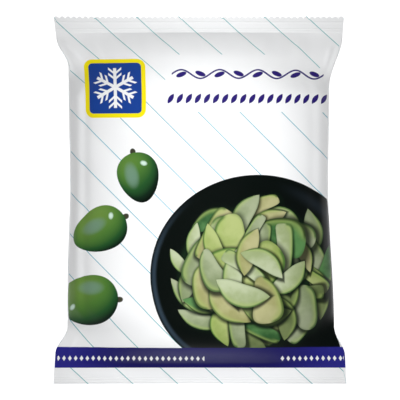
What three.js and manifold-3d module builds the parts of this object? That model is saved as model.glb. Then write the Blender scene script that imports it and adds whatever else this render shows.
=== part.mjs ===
// A sealed pillow pack for frozen food, lying on its back with its printed face up.
//
// One tube of film is closed by a flat seal at each end, and by a fin seal that runs down the
// middle of the back and lies folded over. The top end is cut to a zigzag, the bottom end straight.
// The filled middle is thick, so the film that lies flat at full width in the end seals is drawn
// in there: the sides step in below each seal, in a soft fold at every corner. The weight of the
// food presses the back flat on the surface that the pack lies on.
//
// Millimetres, +Z up. The origin is the middle of the pack's outline, on the surface under it.
// +Y runs to the zigzag end, +X to the right of someone who reads the printed face.

import * as THREE from "three";
import { mergeVertices } from "three/addons/utils/BufferGeometryUtils.js";
import Module from "manifold-3d";

// ---- Driving dimensions ----

const FLAT_WIDTH = 180; // the empty tube, laid flat
const PACK_LENGTH = 226; // from the tips of the zigzag to the straight end
const PACK_HEIGHT = 41; // lying, at the fullest place
const SEAL_LEVEL = 15; // height of the end seals, which the filled middle holds off the surface
const SEAL_LENGTH = 10; // how far each end seal reaches in from its end
const SEAL_THICKNESS = 0.8; // both layers, pressed together

// The sides. waist is the half width at the narrowest place, and spread is what it widens by within
// a length towards each end. At an end, tuck is what the seal's side stands in from the full width,
// taper what it draws in before it steps, and step where it steps to the middle, from the end.
const WAIST_Y = 10;
const LEFT = {
  waist: 79.8,
  upper: { spread: 1.0, length: 62 },
  lower: { spread: 1.6, length: 62 },
  top: { tuck: 0, taper: 4.2, step: [15, 32] },
  bottom: { tuck: 0, taper: 2.2, step: [19.5, 35] },
};
const RIGHT = {
  waist: 78.8,
  upper: { spread: 0.7, length: 62 },
  lower: { spread: 3.6, length: 90 },
  top: { tuck: 1.5, taper: 3.2, step: [14, 44] },
  bottom: { tuck: 0, taper: 1.9, step: [18, 35.5] },
};

// The cushion: how it rises behind each seal, and how square its sections are. The bottom end lies
// flat a little past its seal. A softness of 0 would start a rise with an upright wall.
const TOP_RISE = { start: 10, length: 66, power: 3 };
const BOTTOM_RISE = { start: 12, length: 36, power: 2.5 };
const RISE_SOFTNESS = 2;
const FACE_POWER = 2.5; // the section's upper half, 2 is an ellipse
const BACK_POWER = 4.2; // its lower half, which the surface presses flat
const BACK_EXCESS = 1.6; // how far the back would bulge below the surface if it could
// From an end, a section is a lens with flat ears, and turns full. The ears keep a low round edge.
const EAR = { sharpness: 2.4, from: 15, to: 50 };
const LIP = { height: 3, power: 9, from: 10, to: 27 };
const FULLEST_Y = -6; // where the face is highest
const FACE_FALL = { height: 1.6, length: 62 }; // what the face loses from there on, and where

// Ridges across the end seals, by their distance from the end.
const TOP_RIDGES = [3.9, 8.1, 9.4];
const BOTTOM_RIDGES = [1.4, 3.0, 4.2];
const RIDGE = { width: 0.75, height: 0.2 };

// The end seals aren't quite flat.
const SEAL_WAVE = { height: 0.9, length: 118, phase: 0.7 };

// The soft folds at the corners: each runs from near a seal's corner towards the middle.
const FOLD = { depth: 2.2, width: 3.4, fromSide: 3, fromEnd: 15, slant: 0.5, length: 25 };

// The zigzag cut and the fin.
const TOOTH = { count: 50, depth: 1.35 };
const FIN = { width: 12, thickness: 0.6, groove: 0.5, grooveWidth: 1.2, anchor: [0.35, 1.5] };

// ---- How fine the solid is ----

const POINTS_PER_FACE = 36; // across the face, and as many across the back
const CUSHION_ROWS = 36;
const FIN_ROWS = 40;

const FILM_COLOUR = 0xf2f3f4;

const END = PACK_LENGTH / 2;
const WAIST_HALF = (LEFT.waist + RIGHT.waist) / 2;
const FACE_RISE = PACK_HEIGHT - SEAL_LEVEL - SEAL_THICKNESS / 2;
const BACK_DROP = SEAL_LEVEL - SEAL_THICKNESS / 2 + BACK_EXCESS;

const clamp01 = (value) => Math.min(1, Math.max(0, value));
const mix = (from, to, share) => from + (to - from) * share;

function smoothStep(low, high, value) {
  const share = clamp01((value - low) / (high - low));
  return share * share * (3 - 2 * share);
}

const bell = (distance, width) => Math.exp(-((distance / width) ** 2));

// ---- The form of the pack, as functions of a place on it ----

const fromEnd = (y) => END - Math.abs(y);

// Half the width of one side of the pack at y.
function halfWidth(side, y) {
  const { tuck, taper, step } = y > 0 ? side.top : side.bottom;
  const { spread, length } = y > WAIST_Y ? side.upper : side.lower;
  const sealed = FLAT_WIDTH / 2 - tuck - taper * clamp01(fromEnd(y) / step[1]);
  const filled = side.waist + spread * smoothStep(0, length, Math.abs(y - WAIST_Y));
  return mix(sealed, filled, smoothStep(step[0], step[1], fromEnd(y)));
}

const riseAt = (y) => (y > 0 ? TOP_RISE : BOTTOM_RISE);

// How full the pack is at y: 0 in the seals, 1 where it is thickest.
function fullness(y) {
  const { start, length, power } = riseAt(y);
  const left = 1 - clamp01((fromEnd(y) - start) / length);
  const curve = (value) => (value + RISE_SOFTNESS ** power) ** (1 / power) - RISE_SOFTNESS;
  return curve(1 - left ** power) / curve(1);
}

// The level of the middle plane, with the gentle wave that the seals have.
function middleLevel(x, y) {
  const wave = Math.sin((x / SEAL_WAVE.length) * 2 * Math.PI + SEAL_WAVE.phase * Math.sign(y));
  return SEAL_LEVEL + SEAL_WAVE.height * wave * (1 - smoothStep(0, 3 * SEAL_LENGTH, fromEnd(y)));
}

// How far a ridge stands out of a seal at this distance from the end.
function ridgeHeight(y) {
  const ridges = y > 0 ? TOP_RIDGES : BOTTOM_RIDGES;
  const nearest = Math.min(...ridges.map((place) => Math.abs(fromEnd(y) - place)));
  return RIDGE.height * clamp01(2 - (2 * nearest) / RIDGE.width);
}

// 0 where a section is a lens with flat ears, 1 where it is square with round sides.
const filledShare = (y) => smoothStep(EAR.from, EAR.to, fromEnd(y));

// How far a section bulges at this share of its half width, 0 at its sides and 1 in its middle.
function bulge(share, power, y) {
  const exponent = mix(EAR.sharpness, 1 / power, filledShare(y));
  return (1 - Math.min(1, Math.abs(share)) ** power) ** exponent;
}

// The low rounded edge that the ears keep at the pack's sides.
function lipHeight(share, y) {
  const edge = (1 - Math.min(1, Math.abs(share)) ** LIP.power) ** (1 / LIP.power);
  return LIP.height * edge * smoothStep(LIP.from, LIP.to, fromEnd(y)) * (1 - filledShare(y));
}

// How far the corner folds sink the face at x, y. share is the place across: -1 left, 1 right.
function foldDepth(share, y) {
  const along = fromEnd(y) - FOLD.fromEnd;
  const inFromSide = (1 - Math.abs(share)) * WAIST_HALF;
  const off = inFromSide - FOLD.fromSide - FOLD.slant * along;
  const fade = smoothStep(-4, 5, along) * (1 - smoothStep(0.4, 1, along / FOLD.length));
  return FOLD.depth * bell(off, FOLD.width) * fade;
}

// The ring of points round the pack at y, over the face from right to left and back under it.
function ringAt(y) {
  const right = halfWidth(RIGHT, y);
  const left = halfWidth(LEFT, y);
  const centre = (right - left) / 2;
  const half = (right + left) / 2;
  const full = fullness(y);
  const skin = SEAL_THICKNESS / 2 + ridgeHeight(y);
  const fall = FACE_FALL.height * smoothStep(0, FACE_FALL.length, Math.abs(y - FULLEST_Y));
  const rise = FACE_RISE - fall;
  const ring = [];
  for (let i = 0; i <= POINTS_PER_FACE; i++) {
    const angle = (Math.PI * i) / POINTS_PER_FACE;
    const share = Math.sign(Math.cos(angle)) * Math.abs(Math.cos(angle)) ** (2 / FACE_POWER);
    const up = bulge(share, FACE_POWER, y);
    const x = centre + half * share;
    const height = (rise * full - foldDepth(share, y)) * up + lipHeight(share, y);
    ring.push([x, y, middleLevel(x, y) + skin + height]);
  }
  for (let i = POINTS_PER_FACE; i >= 0; i--) {
    const angle = (Math.PI * i) / POINTS_PER_FACE;
    const share = Math.sign(Math.cos(angle)) * Math.abs(Math.cos(angle)) ** (2 / BACK_POWER);
    const x = centre + half * share;
    ring.push([x, y, middleLevel(x, y) - skin - BACK_DROP * full * bulge(share, BACK_POWER, y)]);
  }
  return ring;
}

// ---- Solids ----

const wasm = await Module();
wasm.setup();

function solidOf(geometry) {
  const bare = geometry.clone();
  bare.deleteAttribute("normal");
  bare.deleteAttribute("uv");
  const merged = mergeVertices(bare, 1e-4);
  return new wasm.Manifold(
    new wasm.Mesh({
      numProp: 3,
      vertProperties: new Float32Array(merged.attributes.position.array),
      triVerts: new Uint32Array(merged.index.array),
    }),
  );
}

function geometryOf(solid) {
  const { numProp, numVert, vertProperties, triVerts } = solid.getMesh();
  const places = new Float32Array(numVert * 3);
  for (let i = 0; i < numVert; i++) {
    places.set(vertProperties.subarray(i * numProp, i * numProp + 3), i * 3);
  }
  const geometry = new THREE.BufferGeometry();
  geometry.setAttribute("position", new THREE.BufferAttribute(places, 3));
  geometry.setIndex(new THREE.BufferAttribute(triVerts, 1));
  geometry.computeVertexNormals();
  return geometry;
}

// Joins rings of equally many points into one closed skin. A ring holds its face points and then
// its back points in reverse, so that an end is closed by a strip from face to back.
function skinOf(rings) {
  const count = rings[0].length;
  const places = rings.flat(2);
  const faces = [];
  const quad = (a, b, c, d) => faces.push(a, c, b, a, d, c);
  for (let row = 0; row + 1 < rings.length; row++) {
    for (let i = 0; i < count; i++) {
      const next = (i + 1) % count;
      quad(row * count + i, row * count + next, (row + 1) * count + next, (row + 1) * count + i);
    }
  }
  const last = (rings.length - 1) * count;
  for (let i = 0; i + 1 < count / 2; i++) {
    quad(count - 1 - i, count - 2 - i, i + 1, i);
    quad(last + i, last + i + 1, last + count - 2 - i, last + count - 1 - i);
  }
  const geometry = new THREE.BufferGeometry();
  geometry.setAttribute("position", new THREE.Float32BufferAttribute(places, 3));
  geometry.setIndex(faces);
  return geometry;
}

// Where the rings lie along the pack: close together over the ridges and behind the seals.
function ringPlaces() {
  const inSeal = (ridges) => [
    0,
    ...ridges.flatMap((place) => [-1, 0, 1].map((side) => place + side * RIDGE.width)),
  ];
  const top = inSeal(TOP_RIDGES).filter((place) => place < SEAL_LENGTH);
  const bottom = inSeal(BOTTOM_RIDGES).filter((place) => place > 0 && place < SEAL_LENGTH);
  const places = [...top.map((place) => END - place), -END, ...bottom.map((place) => place - END)];
  places.push(SEAL_LENGTH - END);
  for (let i = 0; i <= CUSHION_ROWS; i++) {
    const share = (2 * i) / CUSHION_ROWS - 1;
    const closer = mix(share, Math.sin((share * Math.PI) / 2), 0.75);
    places.push(mix(BOTTOM_RISE.start - END, END - TOP_RISE.start, (closer + 1) / 2));
  }
  return places.sort((a, b) => a - b);
}

function cushionSolid() {
  return solidOf(skinOf(ringPlaces().map(ringAt)));
}

// The fin lies against the back, from its fold at x = 0 to its free edge.
function finSolid() {
  const reach = END - SEAL_LENGTH / 2;
  const across = [0, FIN.width / 2, FIN.width];
  const rings = [];
  for (let row = 0; row <= FIN_ROWS; row++) {
    const y = mix(-reach, reach, row / FIN_ROWS);
    const level = (x) => {
      const drop = BACK_DROP * fullness(y) * bulge(x / WAIST_HALF, BACK_POWER, y);
      return middleLevel(x, y) - SEAL_THICKNESS / 2 - drop;
    };
    const anchor = mix(...FIN.anchor, fullness(y));
    const inner = [...across].reverse().map((x) => [x, y, level(x) + anchor]);
    const outer = across.map((x) => [x, y, level(x) - FIN.thickness]);
    rings.push([...inner, ...outer]);
  }
  return solidOf(skinOf(rings));
}

function boxSolid(low, high) {
  const [width, depth, height] = high.map((value, i) => value - low[i]);
  const geometry = new THREE.BoxGeometry(width, depth, height);
  geometry.translate(...low.map((value, i) => (value + high[i]) / 2));
  return solidOf(geometry);
}

// The waste that the zigzag knife cuts off the top end.
function zigzagWaste() {
  const pitch = FLAT_WIDTH / TOOTH.count;
  const outline = new THREE.Shape();
  outline.moveTo(-FLAT_WIDTH / 2 - pitch, END + SEAL_LENGTH);
  for (let i = -1; i <= TOOTH.count; i++) {
    const x = -FLAT_WIDTH / 2 + i * pitch;
    outline.lineTo(x, END);
    outline.lineTo(x + pitch / 2, END - TOOTH.depth);
  }
  outline.lineTo(FLAT_WIDTH / 2 + 2 * pitch, END);
  outline.lineTo(FLAT_WIDTH / 2 + 2 * pitch, END + SEAL_LENGTH);
  const geometry = new THREE.ExtrudeGeometry(outline, { depth: SEAL_LEVEL, bevelEnabled: false });
  geometry.translate(0, 0, SEAL_LEVEL / 2);
  return solidOf(geometry);
}

function pouch() {
  const surface = boxSolid([-FLAT_WIDTH, -PACK_LENGTH, -SEAL_LEVEL], [FLAT_WIDTH, PACK_LENGTH, 0]);
  const groove = (x) =>
    boxSolid([x, -PACK_LENGTH / 3, -FIN.groove], [x + FIN.grooveWidth, PACK_LENGTH / 3, FIN.groove]);
  const solid = cushionSolid()
    .add(finSolid())
    .subtract(surface)
    .subtract(groove(-FIN.grooveWidth))
    .subtract(groove(FIN.width))
    .subtract(zigzagWaste());
  const film = new THREE.MeshStandardMaterial({ color: FILM_COLOUR, roughness: 0.35, metalness: 0 });
  const mesh = new THREE.Mesh(geometryOf(solid), film);
  mesh.name = "pouch";
  return mesh;
}

const pack = new THREE.Group();
pack.add(pouch());

export default pack;
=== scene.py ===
# %% [markdown]
# # A pillow pack of frozen fruit, lying face up
#
# The object is a bag of glossy white film, full of loose frozen pieces. One tube of film is
# closed by a flat seal at each end, and by a fin seal down the back. The face is printed.
# This lesson dresses the plain solid of the frame: it makes the film as one fine mesh, adds the
# zigzag edge and the ribs of the seals with Geometry Nodes, and prints the face with shader nodes.

import math

import bpy
import numpy as np
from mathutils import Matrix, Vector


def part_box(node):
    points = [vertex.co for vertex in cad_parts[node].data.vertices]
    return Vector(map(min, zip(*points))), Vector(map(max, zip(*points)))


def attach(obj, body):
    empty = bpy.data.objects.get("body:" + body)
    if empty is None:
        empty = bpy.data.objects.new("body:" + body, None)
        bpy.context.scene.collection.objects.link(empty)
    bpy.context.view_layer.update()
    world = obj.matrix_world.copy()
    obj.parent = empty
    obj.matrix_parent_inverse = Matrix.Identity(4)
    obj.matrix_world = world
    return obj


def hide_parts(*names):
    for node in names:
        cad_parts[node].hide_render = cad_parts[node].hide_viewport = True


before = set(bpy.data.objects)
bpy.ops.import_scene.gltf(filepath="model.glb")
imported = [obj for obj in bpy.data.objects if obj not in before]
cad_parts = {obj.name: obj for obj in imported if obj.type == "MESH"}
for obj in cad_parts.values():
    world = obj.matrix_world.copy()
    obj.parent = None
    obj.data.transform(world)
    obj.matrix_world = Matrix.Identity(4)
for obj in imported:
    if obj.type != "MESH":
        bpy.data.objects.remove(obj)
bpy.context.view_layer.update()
print("nodes in the frame:", sorted(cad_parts))

# %% [markdown]
# ## The sizes of the pack
#
# The width of the flat tube, the length and the height are read off the solid, so the film can't
# drift from it. The other values say how such a pack is formed, in millimetres: the sides step in
# behind the seals, because the filled middle needs film for its height.

# %% Sizes of the pack
MM = 0.001
pouch_low, pouch_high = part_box("pouch")
FLAT_WIDTH = (pouch_high.x - pouch_low.x) / MM
PACK_LENGTH = (pouch_high.y - pouch_low.y) / MM
PACK_HEIGHT = (pouch_high.z - pouch_low.z) / MM
END = PACK_LENGTH / 2
SEAL_LEVEL = 15
SEAL_LENGTH = 10
FILM_THICKNESS = 0.6
SKIN = FILM_THICKNESS / 2
print(f"the pack is {FLAT_WIDTH:.0f} x {PACK_LENGTH:.0f} x {PACK_HEIGHT:.0f} mm")

# %% The outline seen from above
WAIST_Y = 10
LEFT = {
    "waist": 79.8,
    "upper": {"spread": 1.0, "length": 62},
    "lower": {"spread": 1.6, "length": 62},
    "top": {"tuck": 0, "taper": 4.2, "step": (15, 32)},
    "bottom": {"tuck": 0, "taper": 2.2, "step": (19.5, 35)},
}
RIGHT = {
    "waist": 78.8,
    "upper": {"spread": 0.7, "length": 62},
    "lower": {"spread": 3.6, "length": 90},
    "top": {"tuck": 1.5, "taper": 3.2, "step": (14, 44)},
    "bottom": {"tuck": 0, "taper": 1.9, "step": (18, 35.5)},
}
WAIST_HALF = (LEFT["waist"] + RIGHT["waist"]) / 2


def smooth_step(low, high, value):
    share = np.clip((value - low) / (high - low), 0, 1)
    return share * share * (3 - 2 * share)


def bell(distance, width):
    return np.exp(-((distance / width) ** 2))


def from_end(y):
    return END - np.abs(y)


def half_width(side, y):
    """How far one side of the pack is from the middle line, at y."""
    ends = []
    for end in (side["top"], side["bottom"]):
        sealed = FLAT_WIDTH / 2 - end["tuck"] - end["taper"] * np.clip(from_end(y) / end["step"][1], 0, 1)
        ends.append((sealed, smooth_step(*end["step"], from_end(y))))
    sealed = np.where(y > 0, ends[0][0], ends[1][0])
    share = np.where(y > 0, ends[0][1], ends[1][1])
    spreads = [part["spread"] * smooth_step(0, part["length"], np.abs(y - WAIST_Y))
               for part in (side["upper"], side["lower"])]
    filled = side["waist"] + np.where(y > WAIST_Y, *spreads)
    return sealed + (filled - sealed) * share


def place_across(share, y):
    """The x of a share of the width: -1 is the left side, 1 is the right side."""
    right, left = half_width(RIGHT, y), half_width(LEFT, y)
    return (right - left) / 2 + (right + left) / 2 * share


# %% [markdown]
# ## The cushion
#
# A cut through a full bag is a flat shape with round sides, which a superellipse gives: its power
# says how square it is. Towards a seal the cut turns into a thin lens with flat ears. The weight of
# the food presses the back flat, so it never goes below the surface that the pack lies on.

# %% The height of the face and of the back
TOP_RISE = {"start": 10, "length": 66, "power": 3}
BOTTOM_RISE = {"start": 12, "length": 36, "power": 2.5}
RISE_SOFTNESS = 2
FACE_POWER = 2.5
BACK_POWER = 4.2
BACK_EXCESS = 1.6
EAR = {"sharpness": 2.4, "from": 15, "to": 50}
LIP = {"height": 3, "power": 9, "from": 10, "to": 27}
FULLEST_Y = -6
FACE_FALL = {"height": 1.6, "length": 62}
FACE_RISE = PACK_HEIGHT - SEAL_LEVEL - SKIN
BACK_DROP = SEAL_LEVEL - SKIN + BACK_EXCESS
SEAL_WAVE = {"height": 0.9, "length": 118, "phase": 0.7}
FOLD = {"depth": 2.2, "width": 3.4, "from_side": 3, "from_end": 15, "slant": 0.5, "length": 25}
FOLD_FADE = {"in": (-4, 5), "out": (0.4, 1)}
FIN = {"width": 12, "thickness": 0.5, "margin": 1.6, "gap": 0.02}
TOUCH_BLEND = 0.5


def rise_at(y, name):
    return np.where(y > 0, TOP_RISE[name], BOTTOM_RISE[name])


def fullness(y):
    """0 in the seals, 1 where the pack is thickest."""
    left = 1 - np.clip((from_end(y) - rise_at(y, "start")) / rise_at(y, "length"), 0, 1)
    power = rise_at(y, "power")
    least = RISE_SOFTNESS**power
    risen = (1 - left**power + least) ** (1 / power) - RISE_SOFTNESS
    return risen / ((1 + least) ** (1 / power) - RISE_SOFTNESS)


def filled_share(y):
    """0 where a cut is a lens with flat ears, 1 where it is square with round sides."""
    return smooth_step(EAR["from"], EAR["to"], from_end(y))


def bulge(share, power, y):
    """How far a cut bulges at this share of its half width: 0 at its sides, 1 in its middle."""
    exponent = EAR["sharpness"] + (1 / power - EAR["sharpness"]) * filled_share(y)
    return np.maximum(1 - np.minimum(1, np.abs(share)) ** power, 0) ** exponent


def lip_height(share, y):
    """The low rounded edge that the flat ears keep at the pack's sides."""
    edge = np.maximum(1 - np.abs(share) ** LIP["power"], 0) ** (1 / LIP["power"])
    return LIP["height"] * edge * smooth_step(LIP["from"], LIP["to"], from_end(y)) * (1 - filled_share(y))


def middle_level(x, y):
    wave = np.sin(x / SEAL_WAVE["length"] * 2 * np.pi + SEAL_WAVE["phase"] * np.sign(y))
    return SEAL_LEVEL + SEAL_WAVE["height"] * wave * (1 - smooth_step(0, 3 * SEAL_LENGTH, from_end(y)))


def fold_depth(share, y):
    """The soft folds that run from the seals' corners towards the middle."""
    along = from_end(y) - FOLD["from_end"]
    off = (1 - np.abs(share)) * WAIST_HALF - FOLD["from_side"] - FOLD["slant"] * along
    fade = smooth_step(*FOLD_FADE["in"], along)
    fade = fade * (1 - smooth_step(*FOLD_FADE["out"], along / FOLD["length"]))
    return FOLD["depth"] * bell(off, FOLD["width"]) * fade


def face_height(share, x, y):
    fall = FACE_FALL["height"] * smooth_step(0, FACE_FALL["length"], np.abs(y - FULLEST_Y))
    up = bulge(share, FACE_POWER, y)
    risen = (FACE_RISE - fall) * fullness(y)
    return middle_level(x, y) + SKIN + (risen - fold_depth(share, y)) * up + lip_height(share, y)


def pressed_level(share, x, y, resting):
    """The level of the back, which its weight presses flat at the level that it rests on."""
    free = middle_level(x, y) - SKIN - BACK_DROP * fullness(y) * bulge(share, BACK_POWER, y)
    return (free + resting + np.sqrt((free - resting) ** 2 + TOUCH_BLEND**2)) / 2


def back_height(share, x, y):
    start = smooth_step(-2 * FIN["margin"], 0, x)
    stop = 1 - smooth_step(FIN["width"], FIN["width"] + 2 * FIN["margin"], x)
    return pressed_level(share, x, y, FIN["thickness"] * start * stop)


# %% [markdown]
# ## The film as a grid
#
# Film bends but doesn't stretch, so the columns of the grid lie evenly along the film, not evenly
# across the view: the steep flanks get as many as they need. Each row is first drawn fine, then
# measured, then divided evenly. The print is straight as seen from the front, and takes up the
# rest of the film's width at the very side. Towards the seals the flat film spreads it sideways,
# and towards the top seal it is drawn along as well.

# %% Rows and columns
TOOTH_COUNT = 50
COLUMNS = 5 * TOOTH_COUNT
FINE_STEPS = 900
ROWS = {"seal": 36, "shoulder": 32, "middle": 23}
SHOULDER_END = 50


def row_places():
    """The y of each row: close together in the seals and behind them, wider in the middle."""
    seal = np.linspace(0, SEAL_LENGTH + 1, ROWS["seal"])
    shoulder = np.linspace(SEAL_LENGTH + 1, SHOULDER_END, ROWS["shoulder"])[1:]
    middle = np.linspace(SHOULDER_END, END, ROWS["middle"])[1:]
    inward = np.concatenate([seal, shoulder, middle])
    return np.concatenate([inward - END, (END - inward)[::-1][1:]])[:, None]


def divide_evenly(height_of, power, y):
    """Shares across each row, from -1 left to 1 right, that lie evenly along the film."""
    angle = np.linspace(0, np.pi, FINE_STEPS)[None, :]
    share = -np.sign(np.cos(angle)) * np.abs(np.cos(angle)) ** (2 / power)
    x = place_across(share, y)
    z = height_of(share, x, y)
    steps = np.hypot(np.diff(x, axis=1), np.diff(z, axis=1))
    measured = np.concatenate([np.zeros_like(y), np.cumsum(steps, axis=1)], axis=1)
    even = np.linspace(0, 1, COLUMNS + 1)
    rows = [np.interp(even * along[-1], along, share[0]) for along in measured]
    return np.array(rows), measured[:, -1]


rows_y = row_places()
face_share, face_length = divide_evenly(face_height, FACE_POWER, rows_y)
back_share, _ = divide_evenly(back_height, BACK_POWER, rows_y)
print(f"{len(rows_y)} rows of {COLUMNS + 1} points")
print(f"film across the face: {face_length.min():.1f} to {face_length.max():.1f} mm")


# %% Points of the face and of the back
def points_of(share, height_of, y):
    x = place_across(share, y)
    return np.stack([x, np.broadcast_to(y, x.shape), height_of(share, x, y)], axis=-1)


face_points = points_of(face_share, face_height, rows_y)
back_points = points_of(back_share, back_height, rows_y)
film_across = np.broadcast_to(np.linspace(-0.5, 0.5, COLUMNS + 1) * FLAT_WIDTH, face_share.shape)
print("highest point of the face:", round(float(face_points[..., 2].max()), 2), "mm")


# %% Where the print lies
PRINT_TURN = (0.985, 1.0)
PRINT_SPREAD = {"top": (0.03, 60, 100), "bottom": (0.084, 55, 100)}
PRINT_LAG = {"distance": 3, "from": 66, "to": 116}


def print_across(share, y):
    """The place in the print, from -FLAT_WIDTH / 2 at the left side to FLAT_WIDTH / 2 at the right."""
    spreads = [size * smooth_step(start, end, np.abs(y)) for size, start, end in PRINT_SPREAD.values()]
    wider = 1 + np.where(y > 0, *spreads)
    x = place_across(share, y) / wider
    side = np.where(share > 0, half_width(RIGHT, y), half_width(LEFT, y))
    missing = FLAT_WIDTH / 2 - side / wider
    return x + np.sign(share) * missing * smooth_step(*PRINT_TURN, np.abs(share))


def print_along(y):
    return y + PRINT_LAG["distance"] * smooth_step(PRINT_LAG["from"], PRINT_LAG["to"], y)


face_print = print_across(face_share, rows_y)
back_print = print_across(back_share, rows_y)
print_rows = np.broadcast_to(print_along(rows_y), film_across.shape)
print("the print's step from column to column:", np.diff(face_print).min(), "to", np.diff(face_print).max())

# %% [markdown]
# ## Creases
#
# Film over loose frozen pieces is never smooth. Behind each seal it gathers in shallow puckers,
# short creases run in from the corners, a long soft pleat runs down each flank, and the pieces push
# the face out a little. These are small moves along the surface's own normal. The creases are
# placed one by one, and the rest comes from sums of waves with a fixed seed, which fade out at the
# sides, where face and back meet.

# %% Small forms of the film
PUCKER = {"height": 0.12, "start": 9, "full": 17, "end": 46}
PUCKER_WAVES = {"count": 7, "shortest": 11, "longest": 30, "lean": 0.93}
PLEAT = {"left": 0.5, "right": 0.26, "from_side": 14.2, "groove": 19.2, "width": 3, "start": 34, "full": 52}
LUMP = {"height": 0.22, "start": 24, "full": 44}
LUMP_WAVES = {"count": 9, "shortest": 22, "longest": 48, "lean": 0}
SIDE_FADE = (1, 12)
CREASE_FADE = (0.25, 0.4)
CREASES = [
    {"start": (-86, 99.5), "stop": (-71, 83), "width": 1.7, "height": 0.6},
    {"start": (-85, 95), "stop": (-74, 75), "width": 1.5, "height": -0.4},
    {"start": (-66, 97), "stop": (-58, 84), "width": 1.6, "height": 0.22},
    {"start": (80.5, 96), "stop": (76.5, 79), "width": 1.6, "height": 0.42},
    {"start": (85, 99), "stop": (74, 70), "width": 1.5, "height": -0.3},
    {"start": (62, 98), "stop": (55, 86), "width": 1.5, "height": 0.2},
    {"start": (-83, -97), "stop": (-75, -82), "width": 1.5, "height": 0.36},
    {"start": (-70, -98), "stop": (-66, -88), "width": 1.5, "height": 0.22},
    {"start": (84, -97), "stop": (77, -80), "width": 1.5, "height": 0.3},
]


def waves(a, b, seed, count, shortest, longest, lean):
    """A sum of waves, about 1 high. lean 0 runs them every way, 1 runs their crests along b."""
    draw = np.random.default_rng(seed)
    total = np.zeros_like(a + b)
    for _ in range(count):
        turn = draw.uniform(-np.pi / 2, np.pi / 2) * (1 - lean)
        number = 2 * np.pi / draw.uniform(shortest, longest)
        total += np.sin(number * (a * np.cos(turn) + b * np.sin(turn)) + draw.uniform(0, 2 * np.pi))
    return total / math.sqrt(count)


def crease(x, y, start, stop, width, height):
    """A ridge, or a groove when the height is below 0, that fades out towards both its ends."""
    way = np.array(stop) - np.array(start)
    length = np.hypot(*way)
    run = ((x - start[0]) * way[0] + (y - start[1]) * way[1]) / length**2
    aside = ((x - start[0]) * way[1] - (y - start[1]) * way[0]) / length
    fade = smooth_step(0, CREASE_FADE[0], run) * smooth_step(1, 1 - CREASE_FADE[1], run)
    return height * bell(aside, width) * fade


def small_forms(across, y, seed):
    inward = from_end(y)
    from_side = FLAT_WIDTH / 2 - np.abs(across)
    gathered = smooth_step(PUCKER["start"], PUCKER["full"], inward)
    gathered = gathered * (1 - smooth_step(PUCKER["full"], PUCKER["end"], inward))
    puckers = PUCKER["height"] * gathered * waves(across, y, seed, **PUCKER_WAVES)
    pleat = bell(from_side - PLEAT["from_side"], PLEAT["width"])
    pleat = pleat - bell(from_side - PLEAT["groove"], PLEAT["width"])
    pleat = pleat * np.where(across < 0, PLEAT["left"], PLEAT["right"])
    pleat = pleat * smooth_step(PLEAT["start"], PLEAT["full"], inward)
    lumps = LUMP["height"] * waves(across, y, seed + 1, **LUMP_WAVES)
    lumps = lumps * smooth_step(LUMP["start"], LUMP["full"], inward)
    return (puckers + pleat + lumps) * smooth_step(*SIDE_FADE, from_side)


def normals_of(points):
    normals = np.cross(np.gradient(points, axis=1), np.gradient(points, axis=0))
    return normals / np.linalg.norm(normals, axis=-1, keepdims=True)


face_forms = small_forms(film_across, rows_y, seed=5)
face_forms = face_forms + sum(crease(face_points[..., 0], rows_y, **place) for place in CREASES)
face_points = face_points + normals_of(face_points) * face_forms[..., None]
free_back = smooth_step(0.5, 5, back_points[..., 2])
back_forms = small_forms(film_across, rows_y, seed=11) * free_back
back_points = back_points - normals_of(back_points) * back_forms[..., None]
print(f"the small forms reach {np.abs(face_forms).max():.2f} mm")

# %% [markdown]
# ## One closed mesh
#
# The face grid and the back grid are joined by narrow strips along the sides and the two ends. A
# mesh in mesh code was chosen over a simulation, because the form follows a rule and has to come
# out the same each time. Two UV maps go with it: "film" holds the place on the film in millimetres
# for the print, and "OFBake" lays face and back side by side in a square.


# %% Faces of the mesh
def quads(a, b, c, d):
    return np.stack([a.ravel(), b.ravel(), c.ravel(), d.ravel()], axis=1)


def closed_faces(rows, columns):
    """The faces of an upper grid, of the grid under it, and of the left, right, bottom and top strip."""
    over = np.arange(rows * columns).reshape(rows, columns)
    under = over + rows * columns
    return [
        quads(over[:-1, :-1], over[:-1, 1:], over[1:, 1:], over[1:, :-1]),
        quads(under[:-1, :-1], under[1:, :-1], under[1:, 1:], under[:-1, 1:]),
        quads(over[:-1, 0], over[1:, 0], under[1:, 0], under[:-1, 0]),
        quads(over[:-1, -1], under[:-1, -1], under[1:, -1], over[1:, -1]),
        quads(over[0, :-1], under[0, :-1], under[0, 1:], over[0, 1:]),
        quads(over[-1, :-1], over[-1, 1:], under[-1, 1:], under[-1, :-1]),
    ]


def both_grids(over, under):
    return np.concatenate([over.reshape(-1, 3), under.reshape(-1, 3)]) * MM


grid_size = film_across.size
face_quads, back_quads, *strips = closed_faces(*film_across.shape)
film_quads = np.concatenate([face_quads, back_quads, *strips])
film_points = both_grids(face_points, back_points)
print(len(film_quads), "faces")

# %% Where each corner lies on the film and in the baking square
BAKE = {"gap": 0.006, "face_share": 0.64, "edge": 0.002}


def film_places(corner_quads, on_back):
    """The place of each corner in the print, in mm. Past the side it goes on over the back."""
    point = corner_quads % grid_size
    across = (back_print if on_back else face_print).ravel()[point]
    along = print_rows.ravel()[point]
    if on_back:
        side = np.sign(across.mean(axis=1, keepdims=True))
        across = side * FLAT_WIDTH - across
    return np.stack([across, along], axis=-1)


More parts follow.
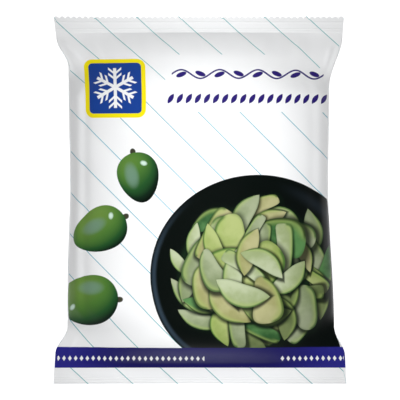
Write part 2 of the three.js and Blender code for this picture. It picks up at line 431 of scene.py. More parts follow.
def bake_places(corner_quads, on_back):
    point = corner_quads % grid_size
    across = film_across.ravel()[point] / FLAT_WIDTH + 0.5
    along = np.broadcast_to(rows_y, film_across.shape).ravel()[point] / PACK_LENGTH + 0.5
    width = BAKE["face_share"] if not on_back else 1 - BAKE["face_share"] - 3 * BAKE["gap"]
    start = BAKE["gap"] if not on_back else BAKE["face_share"] + 2 * BAKE["gap"]
    inner = 1 - 2 * BAKE["gap"]
    return np.stack([start + width * across, BAKE["gap"] + inner * along], axis=-1)


def strip_bake_places(strip, outward):
    """A strip keeps the places of the face's edge, and its back corners go a little further out."""
    places = bake_places(strip, False)
    beyond = (strip >= grid_size)[..., None]
    return places + beyond * np.array(outward) * BAKE["edge"]


film_uv = np.concatenate(
    [film_places(face_quads, False), film_places(back_quads, True)]
    + [film_places(strip, False) for strip in strips]
)
outward_ways = [(-1, 0), (1, 0), (0, -1), (0, 1)]
bake_uv = np.concatenate(
    [bake_places(face_quads, False), bake_places(back_quads, True)]
    + [strip_bake_places(strip, way) for strip, way in zip(strips, outward_ways)]
)
print("the print runs from", film_uv[..., 0].min(), "to", film_uv[..., 0].max(), "mm across")


# %% Build the mesh object
def mesh_object(name, points, faces):
    mesh = bpy.data.meshes.new(name)
    mesh.from_pydata(points.tolist(), [], faces.tolist())
    mesh.polygons.foreach_set("use_smooth", np.ones(len(faces), bool))
    piece = bpy.data.objects.new(name, mesh)
    bpy.context.scene.collection.objects.link(piece)
    return piece


def add_uv(piece, name, places):
    layer = piece.data.uv_layers.new(name=name)
    layer.data.foreach_set("uv", places.astype(np.float32).ravel())


def add_number(piece, name, values):
    attribute = piece.data.attributes.new(name, "FLOAT", "POINT")
    attribute.data.foreach_set("value", values.astype(np.float32).ravel())


film = mesh_object("printed_film", film_points, film_quads)
add_uv(film, "film", film_uv)
add_uv(film, "OFBake", bake_uv)
add_number(film, "across", np.concatenate([film_across.ravel(), film_across.ravel()]) * MM)
add_number(film, "outward", np.repeat([1.0, -1.0], grid_size))
print(film.name, "has", len(film.data.vertices), "points")

# %% [markdown]
# ## Sums as Python expressions
#
# Both Geometry Nodes and materials need a lot of arithmetic. A small class wraps an output socket,
# so that "1 - mask * 0.5" adds the Math nodes by itself. Any other node comes from one method,
# which takes the node's type, its settings and what its sockets get.


# %% The Wire class
class Wire:
    """An output socket of a node tree, with sums written as Python operators."""

    def __init__(self, tree, socket):
        self.tree = tree
        self.socket = socket

    def node(self, kind, settings, sockets, output=0):
        """Adds a node to the same tree. A socket gets a number, a colour or another Wire."""
        made = self.tree.nodes.new(kind)
        for name, value in settings.items():
            if name == "stops":
                set_stops(made.color_ramp, value)
            else:
                setattr(made, name, value)
        for key, value in sockets.items():
            if isinstance(value, Wire):
                self.tree.links.new(value.socket, made.inputs[key])
            else:
                made.inputs[key].default_value = value
        return Wire(self.tree, made.outputs[output])

    def math(self, operation, *values):
        return self.node("ShaderNodeMath", {"operation": operation}, dict(enumerate(values)))

    def __add__(self, other):
        return self.math("ADD", self, other)

    __radd__ = __add__

    def __sub__(self, other):
        return self.math("SUBTRACT", self, other)

    def __rsub__(self, other):
        return self.math("SUBTRACT", other, self)

    def __mul__(self, other):
        return self.math("MULTIPLY", self, other)

    __rmul__ = __mul__

    def __truediv__(self, other):
        return self.math("DIVIDE", self, other)

    def __rtruediv__(self, other):
        return self.math("DIVIDE", other, self)

    def __pow__(self, power):
        return self.math("POWER", self, power)

    def __abs__(self):
        return self.math("ABSOLUTE", self)

    def times_plus(self, factor, plus):
        """This times factor, plus a value, in one node."""
        return self.math("MULTIPLY_ADD", self, factor, plus)

    def smooth(self, start, stop):
        """0 at start and 1 at stop, with a soft change between them."""
        settings = {"interpolation_type": "SMOOTHSTEP", "clamp": False}
        return self.node("ShaderNodeMapRange", settings, {0: self, 1: start, 2: stop})

    def bell(self, middle, reach):
        """1 at middle, 0 from reach away."""
        return abs(self - middle).smooth(reach, 0)

    def fold(self, spacing):
        """The distance to the nearest of evenly spaced places, of which one is at 0."""
        return self.math("PINGPONG", self, spacing / 2)

    def mix(self, under, over):
        """The colour under where this is 0, the colour over where it is 1."""
        sockets = {0: self, 6: under, 7: over}
        return self.node("ShaderNodeMix", {"data_type": "RGBA"}, sockets, output=2)


def set_stops(ramp, stops):
    for _ in range(len(stops) - len(ramp.elements)):
        ramp.elements.new(0.5)
    for element, (place, colour) in zip(ramp.elements, stops):
        element.position = place
        element.color = colour


def new_group(kind, name, inputs, outputs):
    """A node group. Returns its tree, its inputs as Wires by name, and its output node."""
    tree = bpy.data.node_groups.new(name, kind)
    for direction, sockets in (("INPUT", inputs), ("OUTPUT", outputs)):
        for label, socket_type in sockets.items():
            tree.interface.new_socket(label, in_out=direction, socket_type="NodeSocket" + socket_type)
    start = tree.nodes.new("NodeGroupInput")
    end = tree.nodes.new("NodeGroupOutput")
    given = {socket.name: Wire(tree, socket) for socket in start.outputs if socket.name}
    return tree, given, end


# %% [markdown]
# ## The zigzag edge and the ribs of the seals
#
# The end seals are made by hot jaws: they press ribs across both layers, and a toothed knife cuts
# the film between two packs. Teeth and ribs repeat, so Geometry Nodes make them: one tree moves
# the points of the film, with the pitch, the depth and the heights as named inputs.

# %% Tree that finishes the seals
TOOTH_DEPTH = 1.35
TOP_RIBS = (3.9, 8.1, 9.4)
BOTTOM_RIBS = (1.4, 3.0, 4.2)
RIB = {"width": 0.75, "height": 0.2}


def shape_tree(name, numbers):
    """A Geometry Nodes tree with a mesh, named numbers and a material as its inputs."""
    inputs = {"Mesh": "Geometry", **{number: "Float" for number in numbers}, "Finish": "Material"}
    return new_group("GeometryNodeTree", name, inputs, {"Mesh": "Geometry"})


def close_tree(given, end, offset):
    """Moves the mesh by offset, then realizes and finishes it."""
    mesh = given["Mesh"]
    moved = mesh.node("GeometryNodeSetPosition", {}, {"Geometry": mesh, "Offset": offset})
    whole = mesh.node("GeometryNodeRealizeInstances", {}, {"Geometry": moved})
    sockets = {"Geometry": whole, "Material": given["Finish"]}
    finished = mesh.node("GeometryNodeSetMaterial", {}, sockets)
    mesh.tree.links.new(finished.socket, end.inputs["Mesh"])


def attribute(mesh, name):
    return mesh.node("GeometryNodeInputNamedAttribute", {"data_type": "FLOAT"}, {"Name": name})


def seal_tree():
    numbers = ["Half Length", "Tooth Pitch", "Tooth Depth", "Tooth Fade", "Rib Width", "Rib Height"]
    tree, given, end = shape_tree("seal finish", numbers)
    mesh = given["Mesh"]
    place = mesh.node("GeometryNodeInputPosition", {}, {})
    along = mesh.node("ShaderNodeSeparateXYZ", {}, {0: place}, output=1)
    from_top = given["Half Length"] - along
    from_bottom = given["Half Length"] + along
    half_pitch = given["Tooth Pitch"] / 2
    from_notch = mesh.math("PINGPONG", attribute(mesh, "across"), half_pitch) / half_pitch
    from_tip = 1 - from_notch
    near_top = mesh.math("MAXIMUM", 1 - from_top / given["Tooth Fade"], 0)
    cut = from_tip * from_tip * near_top * given["Tooth Depth"]
    ribs = 0
    for distance, places in ((from_top, TOP_RIBS), (from_bottom, BOTTOM_RIBS)):
        for rib in places:
            near = abs(distance - rib * MM) / given["Rib Width"]
            ribs = near.smooth(1, 0) + ribs
    lift = ribs * given["Rib Height"] * attribute(mesh, "outward")
    offset = mesh.node("ShaderNodeCombineXYZ", {}, {1: 0 - cut, 2: lift})
    close_tree(given, end, offset)
    return tree


seal_finish = seal_tree()
print(seal_finish.name, "has", len(seal_finish.nodes), "nodes")


# %% [markdown]
# ## Colours of the print
#
# Inks are measured as they look on screen, which is sRGB. Shader colours are linear, so one helper
# turns the one into the other. The names say what each ink is for.


# %% Inks
def ink(red, green, blue):
    """A colour from its 0-255 screen values, as linear red, green, blue and alpha."""
    screen = np.array([red, green, blue]) / 255
    linear = np.where(screen <= 0.04045, screen / 12.92, ((screen + 0.055) / 1.055) ** 2.4)
    return (*[float(value) for value in linear], 1.0)


FILM_WHITE = ink(246, 247, 248)
STRIPE_BLUE = ink(98, 176, 196)
STRIPE_TEAL = ink(120, 184, 186)
BAND_INDIGO = ink(26, 22, 92)
BAND_BLUE = ink(42, 40, 138)
BORDER_INDIGO = ink(44, 30, 112)
BADGE_BLUE = ink(28, 66, 148)
BADGE_YELLOW = ink(247, 230, 20)
BOWL_BLACK = ink(6, 12, 10)
BOWL_SHEEN = ink(54, 70, 84)
BOWL_GLOW = ink(42, 52, 62)
HEAP_DARK = ink(18, 38, 20)
PEEL_ZONE = ink(156, 178, 98)

# %% [markdown]
# ## The film's material
#
# The print is laid ink by ink, as on a press: each layer has a colour and a mask, and goes over
# what is there. The masks are worked out from the place on the film in millimetres, so the picture
# is made of fields of colour and simple shapes, and stays sharp at any size.


# %% Start the material and the sheet
def new_material(name):
    """A material, its node tree and its surface shader."""
    material = bpy.data.materials.new(name)
    material.use_nodes = True
    return material, material.node_tree, material.node_tree.nodes["Principled BSDF"]


film_material, film_tree, surface = new_material("film_print")
uv_node = film_tree.nodes.new("ShaderNodeUVMap")
uv_node.uv_map = "film"
on_film = Wire(film_tree, uv_node.outputs["UV"])
across = on_film.node("ShaderNodeSeparateXYZ", {}, {0: on_film}, output=0)
along = Wire(film_tree, across.socket.node.outputs[1])


class Sheet:
    """The printed colour so far. Each ink is laid over what is there."""

    def __init__(self, colour):
        self.colour = colour

    def lay(self, colour, mask):
        self.colour = mask.mix(self.colour, colour)


def seen_from(centre, size, turn=0):
    """The place on the film, seen from a motif: its centre is 0, 0 and its half sizes are 1."""
    cosine, sine = math.cos(math.radians(turn)), math.sin(math.radians(turn))
    shift_x = -(centre[0] * cosine + centre[1] * sine) / size[0]
    shift_y = (centre[0] * sine - centre[1] * cosine) / size[1]
    x = across.times_plus(cosine / size[0], along.times_plus(sine / size[0], shift_x))
    y = along.times_plus(cosine / size[1], across.times_plus(-sine / size[1], shift_y))
    return x, y


def squared(x, y):
    return y.times_plus(y, x * x)


BLUR = 0.16


def above(value, limit):
    return value.smooth(limit - BLUR, limit + BLUR)


def below(value, limit):
    return value.smooth(limit + BLUR, limit - BLUR)


def between(value, low, high):
    return above(value, low) * below(value, high)


sheet = Sheet(FILM_WHITE)
print("the material starts with", len(film_tree.nodes), "nodes")

# %% [markdown]
# ## Stripes
#
# Thin slanted stripes run over the whole pack, also over its seals and its back. They are plain
# ruled lines: the distance to the nearest line of an evenly spaced set gives them. They leave a
# clear field beside the badge, for two borders.

# %% Lay the stripes
STRIPE = {"spacing": 25.4, "offset": 1.5, "half_width": 0.28, "outer": 0.22, "inner": -0.12}
TEAL_RANGE = (30, 100)
CLEAR = {"left": -21, "right": 84, "bottom": 53.5, "top": 90, "dip": 8.5, "dip_from": 45, "dip_to": 66}


def lay_stripes():
    slanted = across + along - STRIPE["offset"]
    distance = slanted.fold(STRIPE["spacing"]) - STRIPE["half_width"]
    line = distance.smooth(STRIPE["outer"], STRIPE["inner"])
    dip = across.smooth(CLEAR["dip_from"], CLEAR["dip_to"]) * CLEAR["dip"]
    clear = between(across, CLEAR["left"], CLEAR["right"])
    clear = clear * above(along, CLEAR["bottom"])
    clear = clear * below(along + dip, CLEAR["top"])
    tint = abs(along).smooth(*TEAL_RANGE).mix(STRIPE_BLUE, STRIPE_TEAL)
    sheet.lay(tint, line * (1 - clear))


lay_stripes()
print("after the stripes:", len(film_tree.nodes), "nodes")

# %% [markdown]
# ## The bowl
#
# A dark bowl fills the lower right of the face and runs over the side. It is an ellipse of nearly
# black ink, with a soft cool sheen inside its rim on one side and a weaker one across from it.

# %% Lay the bowl
BOWL = {"centre": (35.2, -45.9), "size": (65.4, 61.2), "foot": -97}
RIM_SHEEN = {"radius": 0.966, "reach": 0.034, "strength": 0.7}
RIM_GLOW = {"radius": 0.88, "reach": 0.09, "strength": 0.6}


def lay_bowl():
    x, y = seen_from(BOWL["centre"], BOWL["size"])
    radius = on_film.math("SQRT", squared(x, y))
    above_foot = above(along, BOWL["foot"])
    sheet.lay(BOWL_BLACK, radius.smooth(1.003, 0.997) * above_foot)
    low_left = (x * -0.9 - y * 0.42).smooth(0.15, 1.0) * along.smooth(BOWL["foot"], BOWL["foot"] + 1)
    sheen = radius.bell(RIM_SHEEN["radius"], RIM_SHEEN["reach"])
    sheet.lay(BOWL_SHEEN, sheen * low_left * RIM_SHEEN["strength"])
    high_right = (x * 0.8 + y * 0.55).smooth(0.6, 1.0)
    glow = radius.bell(RIM_GLOW["radius"], RIM_GLOW["reach"])
    sheet.lay(BOWL_GLOW, glow * high_right * RIM_GLOW["strength"])


lay_bowl()
print("after the bowl:", len(film_tree.nodes), "nodes")

# %% [markdown]
# ## The heap of slices
#
# The heap is a few dozen slices, each a simple shape: a bent oval with pointed or blunt ends, pale
# flesh that turns yellow-green and then dark green towards its peel, and a soft shadow on what lies
# under it. A rule places them: a spiral with the golden angle spreads them evenly, and a fixed
# seed turns and sizes them. The outer ones mostly come first, so that the middle lies on top.

# %% One slice, as a group
SHADOW = ink(8, 20, 12)
SHADOW_CAST = {"shift": 0.07, "reach": 1.4, "strength": 0.88}
SLICE_INPUTS = {
    "Under": "Color",
    "Across": "Float",
    "Along": "Float",
    "Mottle": "Float",
    "Centre Across": "Float",
    "Centre Along": "Float",
    "Half Length": "Float",
    "Half Width": "Float",
    "Turn": "Float",
    "Bend": "Float",
    "Taper": "Float",
    "End Power": "Float",
    "Side Power": "Float",
    "Peel": "Color",
    "Flesh": "Color",
    "Light": "Color",
}


def slice_group():
    tree, given, end = new_group("ShaderNodeTree", "fruit slice", SLICE_INPUTS, {"Colour": "Color"})
    turn = given["Turn"]
    cosine, sine = turn.math("COSINE", turn), turn.math("SINE", turn)
    right = given["Across"] - given["Centre Across"]
    up = given["Along"] - given["Centre Along"]
    x = (right * cosine + up * sine) / given["Half Length"]
    y = (up * cosine - right * sine) / given["Half Width"]
    square = x * x
    bowed = (y + square * given["Bend"]) / x.times_plus(given["Taper"], 1)
    inside = square ** given["End Power"] + (bowed * bowed) ** given["Side Power"]
    rim = inside ** (0.5 / given["Side Power"])
    towards_shadow = (right - up) / given["Half Width"] * SHADOW_CAST["shift"]
    shadow = (rim - towards_shadow).smooth(SHADOW_CAST["reach"], 0.98) * SHADOW_CAST["strength"]
    colour = shadow.mix(given["Under"], SHADOW)
    tone = x.times_plus(0.3, bowed * -0.3) + given["Mottle"]
    face = tone.smooth(0.1, 0.9).mix(given["Flesh"], given["Light"])
    zone = rim.smooth(0.4, 0.9) * bowed.smooth(0, 0.5) * 0.55
    face = zone.mix(face, PEEL_ZONE)
    peel = rim.smooth(0.78, 0.96) * bowed.smooth(0.1, 0.45) * 0.85
    face = peel.mix(face, given["Peel"])
    under_edge = rim.smooth(0.84, 1.0) * bowed.smooth(0.1, -0.4) * 0.3
    face = under_edge.mix(face, given["Peel"])
    colour = rim.smooth(1.03, 0.97).mix(colour, face)
    tree.links.new(colour.socket, end.inputs["Colour"])
    return tree


fruit_slice = slice_group()
print("one slice takes", len(fruit_slice.nodes), "nodes")

# %% Kinds of slice
FLESH = {
    "pale": (ink(62, 98, 48), ink(148, 162, 116), ink(180, 190, 156)),
    "grey": (ink(52, 84, 44), ink(124, 138, 100), ink(158, 168, 136)),
    "fresh": (ink(50, 94, 36), ink(138, 156, 84), ink(168, 180, 116)),
    "warm": (ink(66, 92, 42), ink(150, 150, 98), ink(176, 174, 128)),
    "shaded": (ink(32, 58, 28), ink(92, 108, 64), ink(120, 134, 86)),
    "peel": (ink(14, 34, 18), ink(44, 84, 44), ink(88, 134, 78)),
}
UPPER_KINDS = ("pale", "pale", "grey", "fresh", "warm", "warm", "grey", "peel")
MIDDLE_KINDS = ("pale", "grey", "warm", "warm", "fresh", "pale")
LOWER_KINDS = ("grey", "shaded", "shaded", "peel", "fresh", "grey", "peel")
CUTS = {
    "crescent": {"ratio": (0.3, 0.42), "bend": (0.4, 1.0), "taper": (-0.1, 0.1), "end": 1.3, "side": 0.5},
    "strip": {"ratio": (0.26, 0.38), "bend": (0.05, 0.35), "taper": (-0.3, 0.3), "end": 4.0, "side": 2.0},
    "cheek": {"ratio": (0.44, 0.6), "bend": (0.1, 0.5), "taper": (-0.4, 0.4), "end": 1.8, "side": 1.1},
}
CUT_NAMES = ("crescent", "crescent", "crescent", "strip", "strip", "cheek")
MOTTLE = {"scale": 0.13, "detail": 3}


def noise(place, scale, detail):
    return place.node("ShaderNodeTexNoise", {}, {"Vector": place, "Scale": scale, "Detail": detail})


mottle = noise(on_film, MOTTLE["scale"], MOTTLE["detail"])

# %% Place the slices
HEAP = {"centre": (32.5, -44.5), "size": (46.5, 41.5), "count": 56, "seed": 21, "shuffle": 0.25}
SLICE_HALF = (12, 18.5)
SLICE_LARGER = {"middle": 1.1, "less_by": 0.15}
SLICE_TURN = {"middle": 1.9, "less_by": 0.9}
MIDDLE_REACH = 0.5
LOWER_FROM = 0.42
GOLDEN_ANGLE = math.pi * (3 - math.sqrt(5))


def lay_slice(centre, half_length, turn, cut, kind, draw):
    peel, flesh, light = FLESH[kind]
    sockets = {
        "Under": sheet.colour,
        "Across": across,
        "Along": along,
        "Mottle": mottle,
        "Centre Across": centre[0],
        "Centre Along": centre[1],
        "Half Length": half_length,
        "Half Width": half_length * draw.uniform(*cut["ratio"]),
        "Turn": turn,
        "Bend": draw.uniform(*cut["bend"]),
        "Taper": draw.uniform(*cut["taper"]),
        "End Power": cut["end"],
        "Side Power": cut["side"],
        "Peel": peel,
        "Flesh": flesh,
        "Light": light,
    }
    sheet.colour = on_film.node("ShaderNodeGroup", {"node_tree": fruit_slice}, sockets)


def kinds_at(way, out):
    """The kinds of slice at a place: no peel in the middle, more of it and more shade at the lower right."""
    if out < MIDDLE_REACH:
        return MIDDLE_KINDS
    lower_right = (way[0] - way[1]) / math.sqrt(2)
    return LOWER_KINDS if lower_right > LOWER_FROM else UPPER_KINDS


def lay_heap():
    draw = np.random.default_rng(HEAP["seed"])
    x, y = seen_from(HEAP["centre"], HEAP["size"])
    sheet.lay(HEAP_DARK, squared(x, y).smooth(1.05, 0.85))
    shuffle = draw.uniform(-HEAP["shuffle"], HEAP["shuffle"], HEAP["count"])
    depths = np.arange(HEAP["count"]) + shuffle * HEAP["count"]
    for number in np.argsort(depths)[::-1].tolist():
        out = math.sqrt((number + 0.4) / HEAP["count"])
        angle = number * GOLDEN_ANGLE
        way = np.array([math.cos(angle), math.sin(angle)]) * out
        centre = (np.array(HEAP["centre"]) + np.array(HEAP["size"]) * way).tolist()
        swing = SLICE_TURN["middle"] - SLICE_TURN["less_by"] * out
        turn = angle - math.pi / 2 + draw.uniform(-1, 1) * swing
        larger = SLICE_LARGER["middle"] - SLICE_LARGER["less_by"] * out
        half_length = draw.uniform(*SLICE_HALF) * larger
        cut = CUTS[CUT_NAMES[int(draw.integers(len(CUT_NAMES)))]]
        kinds = kinds_at(way, out)
        kind = kinds[int(draw.integers(len(kinds)))]
        lay_slice(centre, half_length, turn, cut, kind, draw)


lay_heap()
print("after the heap:", len(film_tree.nodes), "nodes")

# %% [markdown]
# ## Three whole mangoes
#
# Each is an egg shape: an ellipse that is wider towards its stem. Its shade is a ramp over how far a
# point lies towards the light, darker near the rim, with a broad dull sheen and a small bright one.

# %% Lay the mangoes
MANGO_SHADES = [
    (0.0, ink(6, 14, 8)),
    (0.22, ink(16, 38, 24)),
    (0.46, ink(36, 82, 40)),
    (0.72, ink(78, 122, 52)),
    (1.0, ink(108, 144, 66)),
]
MANGO_SHEEN = ink(118, 150, 136)
MANGO_GLINT = ink(214, 240, 226)
STEM = ink(62, 62, 48)
MANGOES = [
    {
        "centre": (-37.2, 13.6),
        "size": (15.4, 12.4),
        "turn": 103,
        "brightness": 0.6,
        "sheen": (-41.5, 15),
        "glint": (-34.2, 22.4),
    },
    {
        "centre": (-61, -18.4),
        "size": (17.2, 13.2),
        "turn": 28,
        "brightness": 0.81,
        "sheen": (-64.5, -16),
        "glint": (-54.2, -9.6),
    },
    {
        "centre": (-68.5, -61.2),
        "size": (19, 15.2),
        "turn": 2,
        "brightness": 0.8,
        "sheen": (-66.5, -53.5),
        "glint": (-77, -65.5),
    },
]
LIGHT_TURN = 128
LIGHT_SLOPE = 0.42
RIM_SHADE = 0.28
GIRTH = 0.2
SHEEN_HALF = (9.5, 5.2)
GLINT_HALF = (2.6, 1.8)
STEM_HALF = (2.1, 1.7)
STEM_OUT = 1.04


def lay_mango(centre, size, turn, brightness, sheen, glint):
    x, y = seen_from(centre, size, turn)
    girth = y / x.times_plus(GIRTH, 1)
    inside = squared(x, girth)
    towards = math.radians(LIGHT_TURN - turn)
    lit = x.times_plus(LIGHT_SLOPE * math.cos(towards), y * (LIGHT_SLOPE * math.sin(towards)))
    shade = lit + brightness - inside * inside * RIM_SHADE
    colour = on_film.node("ShaderNodeValToRGB", {"stops": MANGO_SHADES}, {0: shade})
    stem_way = np.array([math.cos(math.radians(turn)), math.sin(math.radians(turn))])
    stem_at = np.array(centre) + stem_way * size[0] * STEM_OUT
    sheet.lay(STEM, squared(*seen_from(stem_at, STEM_HALF, turn)).smooth(1.3, 0.75))
    sheet.lay(colour, inside.smooth(1.02, 0.98))
    sheet.lay(MANGO_SHEEN, squared(*seen_from(sheen, SHEEN_HALF, turn)).smooth(1, 0) * 0.7)
    sheet.lay(MANGO_GLINT, squared(*seen_from(glint, GLINT_HALF, turn + 60)).smooth(1, 0.05) * 0.9)


for mango in MANGOES:
    lay_mango(**mango)
print("after the mangoes:", len(film_tree.nodes), "nodes")

# %% [markdown]
# ## The badge
#
# The top left corner carries a plain badge: a blue square with round corners in a yellow frame, and
# a white snowflake, as on much frozen food. The snowflake is one arm, repeated by folding the angle
# round its centre into sixths.

# %% Lay the badge
BADGE = {"centre": (-51.4, 68.6), "half": 18.6, "corner": 5.2, "frame": 2.6}
FLAKE = {
    "reach": 12.6,
    "arm": 0.95,
    "barb": 0.8,
    "barb_places": (5.2, 8.8),
    "barb_length": 4.0,
    "barb_slant": 0.9,
}


def lay_badge():
    x, y = seen_from(BADGE["centre"], (1, 1))
    inner = BADGE["half"] - BADGE["corner"]
    over_x = on_film.math("MAXIMUM", abs(x) - inner, 0)
    over_y = on_film.math("MAXIMUM", abs(y) - inner, 0)
    edge = on_film.math("SQRT", over_x * over_x + over_y * over_y) - BADGE["corner"]
    sheet.lay(BADGE_YELLOW, below(edge, 0))
    sheet.lay(BADGE_BLUE, below(edge, -BADGE["frame"]))
    angle = on_film.math("ARCTAN2", x, y)
    sixth = angle.fold(math.pi / 3)
    radius = on_film.math("SQRT", squared(x, y))
    out = radius * on_film.math("COSINE", sixth)
    aside = radius * on_film.math("SINE", sixth)
    flake = below(aside, FLAKE["arm"])
    flake = flake * below(out, FLAKE["reach"])
    for place in FLAKE["barb_places"]:
        barb = below(abs(out - aside * FLAKE["barb_slant"] - place), FLAKE["barb"])
        barb = barb * below(aside, FLAKE["barb_length"])
        flake = on_film.math("MAXIMUM", flake, barb)
    sheet.lay(FILM_WHITE, flake)


lay_badge()
print("after the badge:", len(film_tree.nodes), "nodes")

# %% [markdown]
# ## Borders
#
# Two ornamental borders stand in the clear field: a thin tendril, which is a sine wave with a small
# leaf under each crest and over each trough, and below it a bolder row of leaves. Rows of small
# white lozenges run along the indigo band at the foot. The leaves and the lozenges are one cell
# each, repeated by the remainder of the place along the row.

# %% Lay the borders and the band
TENDRIL = {"left": -17, "right": 75, "height": 77, "swing": 2.8, "length": 23, "half_stroke": 0.5}
TENDRIL_LEAF = {"inward": 3.1, "half": (3.3, 1.5), "lean": 24}
LEAF_ROW = {"left": -20.5, "right": 78.5, "height": 61.6, "cell": 5.5, "half": (3.5, 1.45), "lean": 58}
BAND = {"bottom": -103.0, "top": -90.1, "blue_range": (35, 85)}
LOZENGE = {"height": -97.1, "cell": 3.3, "half": (1.05, 1.7), "rows": [(-82, 2.5), (45, 84)]}


def in_cells(start, cell):
    """The place along a row, seen from the middle of the cell that it falls in."""
    return on_film.math("FLOORED_MODULO", across - start, cell) - cell / 2


def oval(x, y, half, blur):
    inside = (x / half[0]) ** 2 + (y / half[1]) ** 2
    return inside.smooth(1 + blur, 1 - blur)


def leaned(x, y, degrees):
    """The place x, y as seen from a leaf that leans by these degrees."""
    cosine, sine = math.cos(math.radians(degrees)), math.sin(math.radians(degrees))
    return x * cosine + y * sine, y * cosine - x * sine


def lay_leaf_row(row, ink_colour):
    x = in_cells(row["left"], row["cell"])
    y = along - row["height"]
    leaf_x, leaf_y = leaned(x, y, row["lean"])
    tip = 1 - abs(leaf_x) / row["half"][0]
    body = abs(leaf_y) / row["half"][1] - tip * (2 - tip)
    mask = body.smooth(0.06, -0.06) * between(across, row["left"], row["right"])
    sheet.lay(ink_colour, mask * tip.smooth(0, 0.04))


def lay_tendril():
    number = 2 * math.pi / TENDRIL["length"]
    phase = (across - TENDRIL["left"]) * number
    wave = on_film.math("SINE", phase)
    offset = along - TENDRIL["height"] - wave * TENDRIL["swing"]
    steep = on_film.math("COSINE", phase) * (TENDRIL["swing"] * number)
    near = abs(offset) / on_film.math("SQRT", steep * steep + 1)
    stem = below(near, TENDRIL["half_stroke"])
    side = on_film.math("SIGN", wave)
    x = in_cells(TENDRIL["left"], TENDRIL["length"] / 2)
    y = (along - TENDRIL["height"]) * side + (TENDRIL_LEAF["inward"] - TENDRIL["swing"])
    leaf_x, leaf_y = leaned(x, y, TENDRIL_LEAF["lean"])
    leaf = oval(leaf_x, leaf_y, TENDRIL_LEAF["half"], 0.15)
    row = between(across, TENDRIL["left"], TENDRIL["right"])
    sheet.lay(BORDER_INDIGO, on_film.math("MAXIMUM", stem, leaf) * row)


def lay_band():
    tint = abs(across).smooth(*BAND["blue_range"]).mix(BAND_INDIGO, BAND_BLUE)
    sheet.lay(tint, between(along, BAND["bottom"], BAND["top"]))
    for left, right in LOZENGE["rows"]:
        x = abs(in_cells(left, LOZENGE["cell"])) / LOZENGE["half"][0]
        y = abs(along - LOZENGE["height"]) / LOZENGE["half"][1]
        mask = (x + y).smooth(1.1, 0.9) * between(across, left, right)
        sheet.lay(FILM_WHITE, mask)


lay_tendril()
lay_leaf_row(LEAF_ROW, BORDER_INDIGO)
lay_band()
print("after the band:", len(film_tree.nodes), "nodes")

# %% [markdown]
# ## The finish of the film
#
# Laminated film is smooth and glossy, but cold film over lumpy food is slightly dull and finely
# crinkled. The roughness varies softly, and a faint bump breaks up its reflections.

# %% Finish the film
GLOSS = {"base": 0.34, "vary": 0.1, "vary_scale": 45, "crinkle_scale": 170, "crinkle": 0.05}
FILM_IOR = 1.46
FILM_SPECULAR = 0.18


def finish_film():
    place = on_film.node("ShaderNodeTexCoord", {}, {}, output=3)
    broad = noise(place, GLOSS["vary_scale"], 3)
    fine = noise(place, GLOSS["crinkle_scale"], 4)
    roughness = broad * GLOSS["vary"] + (GLOSS["base"] - GLOSS["vary"] / 2)
    sockets = {"Strength": GLOSS["crinkle"], "Distance": MM, "Height": fine}
    bump = on_film.node("ShaderNodeBump", {}, sockets)
    film_tree.links.new(sheet.colour.socket, surface.inputs["Base Color"])
    film_tree.links.new(roughness.socket, surface.inputs["Roughness"])
    film_tree.links.new(bump.socket, surface.inputs["Normal"])
    surface.inputs["IOR"].default_value = FILM_IOR
    surface.inputs["Specular IOR Level"].default_value = FILM_SPECULAR


finish_film()
print("the film's material has", len(film_tree.nodes), "nodes")


# %% [markdown]
# ## From modifier to plain mesh
#
# The modifier's inputs are set by the identifiers of their sockets, then the evaluated object gives
# a plain mesh, and the modifier goes. The edges of the seals are marked sharp, so that the cut film
# doesn't look swollen.


# %% Apply the seal finish
def set_inputs(modifier, values):
    for item in modifier.node_group.interface.items_tree:
        if item.in_out == "INPUT" and item.name in values:
            modifier[item.identifier] = values[item.name]


def made_plain(piece, tree, values):
    modifier = piece.modifiers.new(tree.name, "NODES")
    modifier.node_group = tree
    set_inputs(modifier, values)
    graph = bpy.context.evaluated_depsgraph_get()
    evaluated = piece.evaluated_get(graph)
    mesh = bpy.data.meshes.new_from_object(evaluated, preserve_all_data_layers=True, depsgraph=graph)
    piece.modifiers.remove(modifier)
    piece.data = mesh
    return piece


seal_sizes = {
    "Half Length": END * MM,
    "Tooth Pitch": FLAT_WIDTH / TOOTH_COUNT * MM,
    "Tooth Depth": TOOTH_DEPTH * MM,
    "Tooth Fade": 2.4 * MM,
    "Rib Width": RIB["width"] * MM,
    "Rib Height": RIB["height"] * MM,
    "Finish": film_material,
}
made_plain(film, seal_finish, seal_sizes)
film.data.set_sharp_from_angle(angle=math.radians(55))
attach(film, "root")
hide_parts("pouch")
print(film.name, "has", len(film.data.polygons), "faces and", [uv.name for uv in film.data.uv_layers])

# %% [markdown]
# ## The fin seal
#
# The two edges of the film meet down the middle of the back, where a narrow fin is pressed flat
# and lies folded to one side. It is a long thin strip that follows the back. Its pressed ribs
# repeat along it, so Geometry Nodes make them as well.

# %% Strip of the fin
FIN_ROWS = 260
FIN_COLUMNS = 8
FIN_RIB = {"pitch": 2.2, "height": 0.09}


def fin_strip():
    """The upper and the under side of the fin, a small gap clear of the film and of the ground."""
    y = np.linspace(SEAL_LENGTH / 2 - END, END - SEAL_LENGTH / 2, FIN_ROWS + 1)[:, None]
    x = np.broadcast_to(np.linspace(0, FIN["width"], FIN_COLUMNS + 1), (FIN_ROWS + 1, FIN_COLUMNS + 1))
    level = pressed_level(x / WAIST_HALF, x, y, FIN["thickness"])
    top = np.stack([x, np.broadcast_to(y, x.shape), level - FIN["gap"]], axis=-1)
    under = top - np.array([0, 0, FIN["thickness"] - 2 * FIN["gap"]])
    return top, under


def closed_strip(name, top, under):
    rows, columns = top.shape[:2]
    piece = mesh_object(name, both_grids(top, under), np.concatenate(closed_faces(rows, columns)))
    add_number(piece, "outward", np.repeat([1.0, -1.0], rows * columns))
    return piece


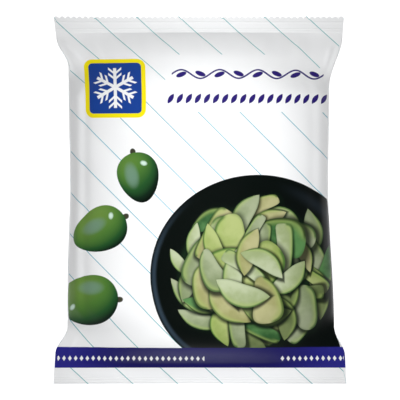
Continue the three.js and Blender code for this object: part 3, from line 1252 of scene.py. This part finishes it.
def rib_tree():
    tree, given, end = shape_tree("fin ribs", ["Rib Pitch", "Rib Height"])
    mesh = given["Mesh"]
    place = mesh.node("GeometryNodeInputPosition", {}, {})
    along_fin = mesh.node("ShaderNodeSeparateXYZ", {}, {0: place}, output=1)
    wave = mesh.math("COSINE", along_fin / given["Rib Pitch"] * (2 * math.pi))
    lift = (wave - 1) * given["Rib Height"] * attribute(mesh, "outward")
    offset = mesh.node("ShaderNodeCombineXYZ", {}, {2: lift})
    close_tree(given, end, offset)
    return tree


# %% Finish of the fin, and the piece
def plain_film_material():
    material, tree, shader = new_material("plain_film")
    start = Wire(tree, tree.nodes.new("ShaderNodeTexCoord").outputs["Object"])
    vary = noise(start, 60, 3)
    colour = vary.mix(ink(238, 240, 241), FILM_WHITE)
    tree.links.new(colour.socket, shader.inputs["Base Color"])
    tree.links.new((vary * 0.12 + 0.3).socket, shader.inputs["Roughness"])
    return material


top_points, under_points = fin_strip()
fin = closed_strip("fin_seal", top_points, under_points)
fin_sizes = {
    "Rib Pitch": FIN_RIB["pitch"] * MM,
    "Rib Height": FIN_RIB["height"] / 2 * MM,
    "Finish": plain_film_material(),
}
made_plain(fin, rib_tree(), fin_sizes)
fin.data.set_sharp_from_angle(angle=math.radians(50))
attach(fin, "root")
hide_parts("pouch")
print(fin.name, "has", len(fin.data.polygons), "faces")

# %% [markdown]
# ## Floor, light and camera
#
# The pack lies on a plain pale floor. A long soft light hangs close over it, a little right of its
# middle, so the light falls off towards the flanks and the shoulders. A weaker one hangs over each
# end and lights the flat seals, and a pale sky that is brighter near the horizon fills the flanks.
# The camera looks straight down through a long lens.


# %% Floor
def floor_material():
    material, _, shader = new_material("pale_floor")
    shader.inputs["Base Color"].default_value = (0.8, 0.8, 0.8, 1)
    shader.inputs["Roughness"].default_value = 0.9
    shader.inputs["Specular IOR Level"].default_value = 0
    shader.inputs["Emission Color"].default_value = (1, 1, 1, 1)
    shader.inputs["Emission Strength"].default_value = 0.78
    return material


def floor_piece():
    reach = 4.0
    corners = np.array([[-reach, -reach, 0], [reach, -reach, 0], [reach, reach, 0], [-reach, reach, 0]])
    floor = mesh_object("floor", corners, np.array([[0, 1, 2, 3]]))
    floor.data.materials.append(floor_material())
    return floor


floor_piece()


# %% Lights
LAMPS = [
    {"name": "middle", "size": (0.05, 0.26), "place": (0.005, -0.006, 0.19), "power": 0.35},
    {"name": "top end", "size": (0.28, 0.04), "place": (0, 0.145, 0.13), "power": 0.045},
    {"name": "bottom end", "size": (0.28, 0.04), "place": (0, -0.145, 0.13), "power": 0.05},
]
SKY = {"low": 0.39, "high": 0.12}


def soft_lamp(name, size, place, power):
    light = bpy.data.lights.new(name, "AREA")
    light.shape = "RECTANGLE"
    light.size, light.size_y = size
    light.energy = power
    lamp = bpy.data.objects.new(name, light)
    lamp.location = place
    lamp.visible_camera = False
    lamp.visible_glossy = False
    bpy.context.scene.collection.objects.link(lamp)


def sky():
    world = bpy.data.worlds.new("sky")
    bpy.context.scene.world = world
    world.use_nodes = True
    tree = world.node_tree
    way = Wire(tree, tree.nodes.new("ShaderNodeTexCoord").outputs["Generated"])
    upward = way.node("ShaderNodeSeparateXYZ", {}, {0: way}, output=2)
    high = upward.smooth(0.15, 0.85)
    level = high * (SKY["high"] - SKY["low"]) + SKY["low"]
    background = tree.nodes["Background"]
    tree.links.new(level.socket, background.inputs["Strength"])
    background.inputs["Color"].default_value = (1, 1, 1, 1)


for lamp in LAMPS:
    soft_lamp(**lamp)
sky()

# %% Camera
VIEW_WIDTH = 245.7
LENS = 300
SENSOR = 36


def camera():
    data = bpy.data.cameras.new("camera")
    data.lens = LENS
    data.sensor_width = SENSOR
    eye = bpy.data.objects.new("camera", data)
    distance = VIEW_WIDTH * LENS / SENSOR
    eye.location = (0, 0, (SEAL_LEVEL + distance) * MM)
    data.clip_end = 20
    bpy.context.scene.collection.objects.link(eye)
    bpy.context.scene.camera = eye
    print(f"the camera is {distance:.0f} mm above the seals")


camera()
bpy.context.scene.view_settings.view_transform = "Standard"
